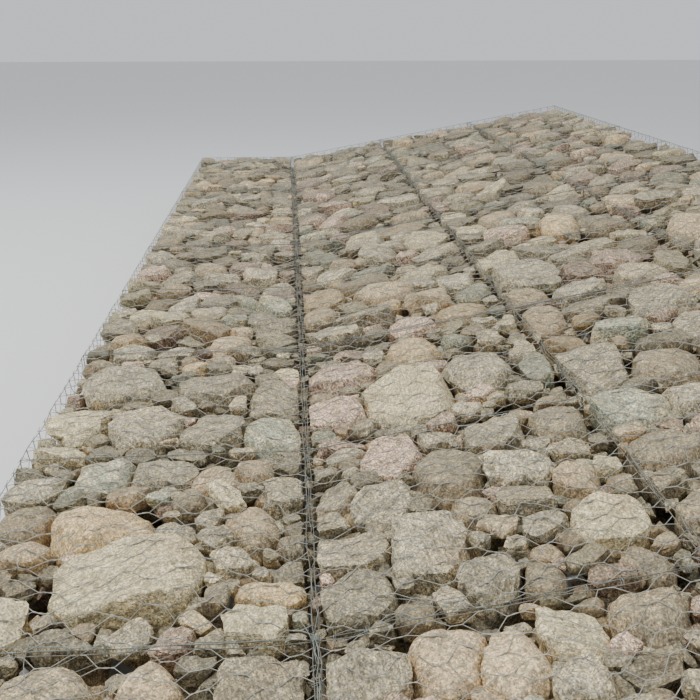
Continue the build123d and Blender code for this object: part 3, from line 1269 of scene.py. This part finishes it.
net_zinc = wire_material("net_zinc", (0.48, 0.47, 0.41), (0.30, 0.30, 0.26), 0.60)
edge_zinc = wire_material("edge_zinc", (0.25, 0.245, 0.205), (0.14, 0.135, 0.11), 0.55)
lacing_zinc = wire_material("lacing_zinc", (0.36, 0.38, 0.33), (0.19, 0.21, 0.175), 0.55)
print("wire materials:", net_zinc.name, edge_zinc.name, lacing_zinc.name)


def dress(piece, material, slot, *replaced):
    """Give a piece its material and body, and hide the nodes that it stands for; its slot is not used."""
    piece.data.materials.append(material)
    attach(piece, "root")
    if replaced:
        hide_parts(*replaced)

# %% [markdown]
# The edges of a real basket are thicker wires. They bend a little between the lacing's turns, and the nets
# are wound round them, so edges and nets take their bends from one function.

# %% Bends of the edges
SIDES = ("low", "high", "start", "end")
EDGE_RUN = 0.09
BEND, BEND_RUN, CORNER_RUN = 0.006, 0.40, 0.06


def bend(basket, side, along, length):
    """How far an edge bends in from its side of the basket, at distances along it."""
    draw = basket.chance(700 + SIDES.index(side), 40, 4)
    inward = BEND + BEND * np.clip(waves(along[..., None], BEND_RUN, draw), -1, 1)
    return inward * np.clip(np.minimum(along, length - along) / CORNER_RUN, 0, 1)


def ease(value):
    """Zero below zero, one above one, and a smooth rise between them."""
    value = np.clip(value, 0, 1)
    return value * value * (3 - 2 * value)

# %% [markdown]
# The lid net is pulled tight over the stones and wound round the edge wires, and a tie at the diaphragm draws
# it down. A cloth simulation of the net would take minutes and could slip through the stones. Laying it on
# the surface of the rolled ball, with small waves and eased edges, gives the same sag at once.

# %% Shape of the net over a lid
# The waves are given as height and length in metres.
TIE_RUN, TIE_PULL = 0.05, 0.5
ACROSS_WAVES = ((0.018, 0.35), (0.009, 0.11))
ALONG_WAVES = ((0.020, 0.30), (0.009, 0.11))
REST_WAVE = (0.004, 0.12)


def lid_net(basket, resting):
    """Paths of the wires of the net over a basket's lid, lying on its resting surface."""
    draw = basket.chance(5000, 100)
    twist_points = {1: 3, 2: 5}.get(basket.bay, 2) if basket.row in ("toe", "lower") else 2
    flat = net_wires(WIDTH, LENGTH, twist_points)
    u, v, lift = flat[..., 0], flat[..., 1], flat[..., 2]
    plan = np.stack((u, v), axis=-1)
    hold_u = ease(np.minimum(u, WIDTH - u) / EDGE_RUN)
    hold_v = ease(np.minimum(v, LENGTH - v) / EDGE_RUN)
    hold = hold_u * hold_v
    low, high = bend(basket, "low", v, LENGTH), bend(basket, "high", v, LENGTH)
    start, end = bend(basket, "start", u, WIDTH), bend(basket, "end", u, WIDTH)
    side_u = np.where(u < WIDTH / 2, low + EDGE_WIRE / 2, -high - EDGE_WIRE / 2)
    side_v = np.where(v < LENGTH / 2, start + EDGE_WIRE / 2, -end - EDGE_WIRE / 2)
    uneven_u = sum(height * waves(plan, run, draw) for height, run in ACROSS_WAVES)
    uneven_v = sum(height * waves(plan, run, draw) for height, run in ALONG_WAVES)
    u = u + (1 - hold_u) * side_u + hold * uneven_u
    v = v + (1 - hold_v) * side_v + hold * uneven_v
    rest = lookup(resting, u, v) + hold * REST_WAVE[0] * waves(plan, REST_WAVE[1], draw)
    tied = TIE_PULL * (1 - ease(np.abs(v - CELL) / TIE_RUN)) * hold
    rest = rest + tied * (DEPTH - rest)
    w = (DEPTH - EDGE_WIRE / 2) * (1 - hold) + rest * hold + lift
    u, v = np.clip(u, MESH_WIRE, WIDTH - MESH_WIRE), np.clip(v, MESH_WIRE, LENGTH - MESH_WIRE)
    if basket.row == "upper":
        w = np.minimum(w, DEPTH + (WIDTH - u) * tan(SLOPE) - MESH_WIRE)
    return basket.place(np.stack((u, v, w), axis=-1))


# %% Stretch a net over each lid
resting_on = {}
for basket in baskets:
    heights = stone_heights(basket, heaps[basket.row, basket.bay])
    resting = smooth(roll_ball(heights, BALL_RADIUS), 2) + MESH_WIRE / 2
    resting_on[basket.row, basket.bay] = resting
    net = wires(f"{basket.row}_lid_net_{basket.bay}", lid_net(basket, resting), MESH_WIRE)
    dress(net, net_zinc, "mesh_wire")
print("lid nets:", len(baskets))

# %% [markdown]
# The open sides are the water side, the uphill side and the free ends. Their nets hang between the edge
# wires and give way inward a little, so they are the same flat net, stood up and waved.

# %% Nets on the open sides
SIDE_WAVE, SIDE_RUN = 0.012, 0.3
GIVE, GIVE_RUN = 0.004, 0.25


def upright_net(basket, side):
    """Paths of the wires of a net on an upright side of a basket, its wires going down."""
    length = LENGTH if side in ("low", "high") else WIDTH
    flat = net_wires(DEPTH, length, 2)
    w, along = DEPTH - flat[..., 0], flat[..., 1]
    draw = basket.chance(8000 + SIDES.index(side), 100, 10)
    plan = np.stack((w, along), axis=-1)
    hold = ease(np.minimum(w, DEPTH - w) / EDGE_RUN) * ease(np.minimum(along, length - along) / EDGE_RUN)
    half = EDGE_WIRE / 2
    w = np.clip(w + hold * SIDE_WAVE * waves(plan, SIDE_RUN, draw), half, DEPTH - half)
    along = np.clip(along + hold * SIDE_WAVE * waves(plan, SIDE_RUN, draw), half, length - half)
    inward = half + hold * GIVE * (1 + np.clip(waves(plan, GIVE_RUN, draw), -1, 1))
    across = {"low": inward, "high": WIDTH - inward, "start": along, "end": along}[side]
    station = {"low": along, "high": along, "start": inward, "end": LENGTH - inward}[side]
    return basket.place(np.stack((across, station, w), axis=-1))


for basket in baskets:
    for side in open_sides(basket):
        net = wires(f"{basket.row}_{side}_net_{basket.bay}", upright_net(basket, side), MESH_WIRE)
        end = {"start": "near", "end": "far"}.get(side)
        replaced = [f"toe_end_mesh_{end}"] if basket.row == "toe" and end else []
        dress(net, net_zinc, "mesh_wire", *replaced)
print("nets on open sides:", sum(len(open_sides(basket)) for basket in baskets))

# %% [markdown]
# Every basket keeps its own edge wires, also where two baskets stand side by side, because they were folded
# and wired up one by one before they were laced together.

# %% Edge wires of each basket
NEAR_STEP, FAR_STEP = 0.04, 0.12


def edge_paths(basket):
    """Paths of the four long edges and of the hoops round both ends and the diaphragm."""
    step = NEAR_STEP if basket.bay < 3 else FAR_STEP
    paths = []
    half = EDGE_WIRE / 2
    along = np.linspace(half, LENGTH - half, round(LENGTH / step) + 1)
    for w in (half, DEPTH - half):
        low = half + bend(basket, "low", along, LENGTH)
        high = WIDTH - half - bend(basket, "high", along, LENGTH)
        for u in (low, high):
            paths.append(basket.place(np.stack((u, along, np.full_like(u, w)), axis=-1)))
    over = np.linspace(half, WIDTH - half, round(WIDTH / step) + 1)
    for side, v in (("start", half), ("middle", CELL), ("end", LENGTH - half)):
        inward = np.zeros_like(over)
        if side != "middle":
            inward = bend(basket, side, over, WIDTH) * (1 if side == "start" else -1)
        for w in (half, DEPTH - half):
            paths.append(basket.place(np.stack((over, v + inward, np.full_like(over, w)), axis=-1)))
        for u in (half, WIDTH - half):
            paths.append(basket.place(((u, v, half), (u, v, DEPTH - half))))
    return paths


for basket in baskets:
    edges = wires(f"{basket.row}_edges_{basket.bay}", edge_paths(basket), EDGE_WIRE)
    dress(edges, edge_zinc, "selvedge_wire", f"{basket.row}_frame_{basket.bay}")
print("baskets with edge wires:", len(baskets))

# %% [markdown]
# Lacing wire ties each edge to its neighbour. It is wound by hand, with single and double turns about a
# hand's breadth apart, and it lies slack between them. A screw modifier would make every turn the same, so
# the path is written point by point, with chance in its steps.

# %% Path of one lacing
# Half width and rise of a turn, how often a turn is double, and the gaps between turns, in metres.
TURN_POINTS = 6
PAIR_HALF, PAIR_RISE = 0.0125, 0.0060
DOUBLE_SHARE = 0.45
TURN_GAPS = (0.06, 0.17)
TURN_ADVANCE = 0.006
SHORT_OF_EDGE = 0.06


def lacing(origin, run, side, up, length, draw):
    """The path of a wire wound round a pair of edges that starts at an origin and runs on for a length."""
    points = []
    station = draw.uniform(0.01, 0.06)
    while station < length - 0.03:
        turns = 2 if draw.uniform() < DOUBLE_SHARE else 1
        wide, high = PAIR_HALF + draw.uniform(-0.002, 0.006), PAIR_RISE + draw.uniform(0, 0.004)
        for step in range(TURN_POINTS * turns + 1):
            angle = pi / 2 + 2 * pi * step / TURN_POINTS
            ahead = station + TURN_ADVANCE * step / TURN_POINTS
            points.append((ahead, wide * cos(angle), high * sin(angle)))
        gap = draw.uniform(*TURN_GAPS)
        points.append((station + gap * 0.5, draw.normal(0, 0.008), high + draw.uniform(0, 0.010)))
        station += gap
    points = [point for point in points if point[0] < length - 0.01]
    directions = np.array((run, side, up))
    return np.array(points) @ directions + np.array(origin)


# %% Seams that a bay's lacing ties
def seams_of(bay):
    """Origin, run, sideways and upward directions and length of each pair of edges."""
    by_row = {basket.row: basket for basket in baskets if basket.bay == bay}
    found = []
    for row in ROWS[1:]:
        basket = by_row[row]
        origin = basket.place((0, 0, DEPTH - EDGE_WIRE / 2))
        found.append((origin, basket.along, basket.across, basket.out, LENGTH))
    if bay < bays:
        for basket in by_row.values():
            origin = basket.place((0, LENGTH, DEPTH - EDGE_WIRE / 2))
            length = WIDTH - SHORT_OF_EDGE if basket.row == "upper" else WIDTH
            found.append((origin, basket.across, basket.along, basket.out, length))
    return found


# %% Lace every bay
for bay in range(1, bays + 1):
    draw = np.random.RandomState(9000 + bay)
    paths = [lacing(*seam, draw) for seam in seams_of(bay)]
    laced = wires(f"lacing_run_{bay}", paths, LACING_WIRE)
    dress(laced, lacing_zinc, "lacing_wire", f"lacing_{bay}")
print("laced bays:", bays)

# %% [markdown]
# Where the baskets of the first bay meet those of the second, the wire was tied off, and its ends were left:
# some long ones lie across the lids, and others curl about the knot. Their points are listed, and a smooth
# curve swings past them.

# %% Loose wires: row, then places across and along the row in metres and heights above the net
LOOSE = (
    ("toe", (
        (0.72, 1.72, 0.004), (0.60, 1.62, 0.010), (0.50, 1.53, 0.012),
        (0.40, 1.45, 0.010), (0.30, 1.37, 0.006),
    )),
    ("toe", (
        (0.60, 1.52, 0.004), (0.50, 1.46, 0.010), (0.39, 1.39, 0.012),
        (0.30, 1.34, 0.006),
    )),
    ("toe", (
        (0.30, 1.54, 0.004), (0.30, 1.46, 0.014), (0.32, 1.39, 0.012),
        (0.36, 1.36, 0.004),
    )),
    ("toe", (
        (0.96, 1.58, 0.002), (0.98, 1.54, 0.006), (0.99, 1.50, 0.004),
    )),
    ("toe", (
        (0.20, 1.53, 0.004), (0.34, 1.51, 0.008), (0.48, 1.52, 0.004),
        (0.66, 1.49, 0.008), (0.82, 1.51, 0.004),
    )),
    ("toe", (
        (0.58, 1.47, 0.006), (0.62, 1.52, 0.014), (0.68, 1.50, 0.016),
        (0.66, 1.45, 0.010), (0.60, 1.45, 0.004),
    )),
    ("toe", (
        (0.84, 1.46, 0.004), (0.88, 1.50, 0.014), (0.93, 1.53, 0.008),
        (0.97, 1.50, 0.004),
    )),
    ("lower", (
        (0.03, 1.52, 0.004), (0.07, 1.58, 0.014), (0.12, 1.62, 0.016),
        (0.20, 1.55, 0.008), (0.24, 1.50, 0.002),
    )),
    ("lower", (
        (0.05, 1.47, 0.004), (0.11, 1.46, 0.012), (0.20, 1.53, 0.012),
        (0.34, 1.56, 0.008), (0.46, 1.54, 0.004),
    )),
    ("lower", (
        (0.10, 1.52, 0.002), (0.15, 1.57, 0.010), (0.19, 1.60, 0.014),
        (0.26, 1.57, 0.010), (0.31, 1.53, 0.004),
    )),
    ("lower", (
        (0.17, 1.46, 0.002), (0.21, 1.52, 0.010), (0.27, 1.55, 0.014),
        (0.33, 1.51, 0.010), (0.40, 1.52, 0.002),
    )),
    ("lower", (
        (0.50, 1.52, 0.004), (0.56, 1.56, 0.010), (0.63, 1.53, 0.006),
        (0.70, 1.55, 0.004),
    )),
    ("lower", (
        (0.86, 1.50, 0.002), (0.90, 1.56, 0.012), (0.96, 1.55, 0.010),
        (0.98, 1.50, 0.004),
    )),
)


def on_the_net(row, points):
    """A loose wire's points as places in the frame, each raised from the net under it."""
    places = []
    for u, y, lift in points:
        basket = next(b for b in baskets if b.row == row and y < b.corner.y + LENGTH + 0.001)
        v = y - basket.corner.y
        w = max(float(lookup(resting_on[row, basket.bay], np.array(u), np.array(v))), DEPTH)
        places.append(basket.place((u, v, w + lift)))
    return np.array(places)


loose = wires("loose_wires", [on_the_net(row, points) for row, points in LOOSE], LACING_WIRE, curved=True)
dress(loose, lacing_zinc, "lacing_wire")
print("loose wires:", len(LOOSE))

# %% [markdown]
# A knot is a few tight turns round both edges, and its ends run on along the seam in small waves. The turns
# are points on a helix, and a smooth curve through them hides how few they are.

# %% Knot at the corner of four baskets
KNOT_TURNS, KNOT_WIDE, KNOT_HIGH = 5, 0.013, 0.009
STRANDS, STRAND_LENGTHS = 3, (0.16, 0.30)


def knot(origin, basket, draw):
    """Paths of a few tight turns and of the strands that run on from them."""
    directions = np.array((basket.across, basket.along, basket.out))
    paths = []
    steps = np.arange(0, KNOT_TURNS * TURN_POINTS + 1)
    angle = 2 * pi * steps / TURN_POINTS
    advance = 0.004 * steps / TURN_POINTS - 0.010
    paths.append(np.stack((KNOT_WIDE * np.cos(angle), advance, KNOT_HIGH * np.sin(angle) + 0.004), axis=1))
    for _ in range(STRANDS):
        reach = np.linspace(0, draw.uniform(*STRAND_LENGTHS), 9)
        aside = draw.uniform(-0.016, 0.016) + 0.006 * np.sin(reach * 60 + draw.uniform(0, 6))
        rise = 0.006 + 0.008 * np.sin(reach * 40 + draw.uniform(0, 6))
        paths.append(np.stack((aside, -reach, rise), axis=1))
    return [path @ directions + origin for path in paths]


beside_knot = next(b for b in baskets if b.row == "lower" and b.bay == 2)
knot_place = beside_knot.place((0, 0, DEPTH))
knot_paths = knot(knot_place, beside_knot, np.random.RandomState(77))
tied = wires("corner_knot", knot_paths, LACING_WIRE, curved=True)
dress(tied, lacing_zinc, "lacing_wire")
print("knot at", [round(float(c), 2) for c in knot_place])

# %% [markdown]
# The baskets lie out of doors under a bright cloudy sky. A pale floor, an even sky colour and one very large
# soft lamp give that light: shadows stay shallow, and the hollows between the stones still read as dark.

# %% Floor
bpy.ops.object.select_all(action="DESELECT")
bpy.ops.mesh.primitive_plane_add(size=80, location=(0, 5, 0))
floor = bpy.context.object
floor.name = "floor"
pale = bpy.data.materials.new("pale_floor")
pale.use_nodes = True
pale_shader = pale.node_tree.nodes["Principled BSDF"]
pale_shader.inputs["Base Color"].default_value = (0.75, 0.75, 0.74, 1)
pale_shader.inputs["Roughness"].default_value = 0.9
floor.data.materials.append(pale)

# %% Light
sky = bpy.data.worlds.new("studio")
bpy.context.scene.world = sky
sky.use_nodes = True
background = sky.node_tree.nodes["Background"]
background.inputs["Color"].default_value = (0.9, 0.94, 1.0, 1)
background.inputs["Strength"].default_value = 0.80
bpy.ops.object.light_add(type="AREA", location=(-3, 4, 9))
lamp = bpy.context.object
lamp.data.size = 9
lamp.data.energy = 1000
lamp.rotation_euler = (0, radians(-18), 0)
print("lamp at", [round(c, 1) for c in lamp.location])

# %% [markdown]
# Last comes a count of the pieces that were added and of their triangles.

# %% Finish
added = [thing for thing in bpy.data.objects if thing.type == "MESH" and thing.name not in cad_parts]
counts = {thing.name: sum(len(face.vertices) - 2 for face in thing.data.polygons) for thing in added}
print(len(added), "pieces with", sum(counts.values()), "triangles; the largest has", max(counts.values()))
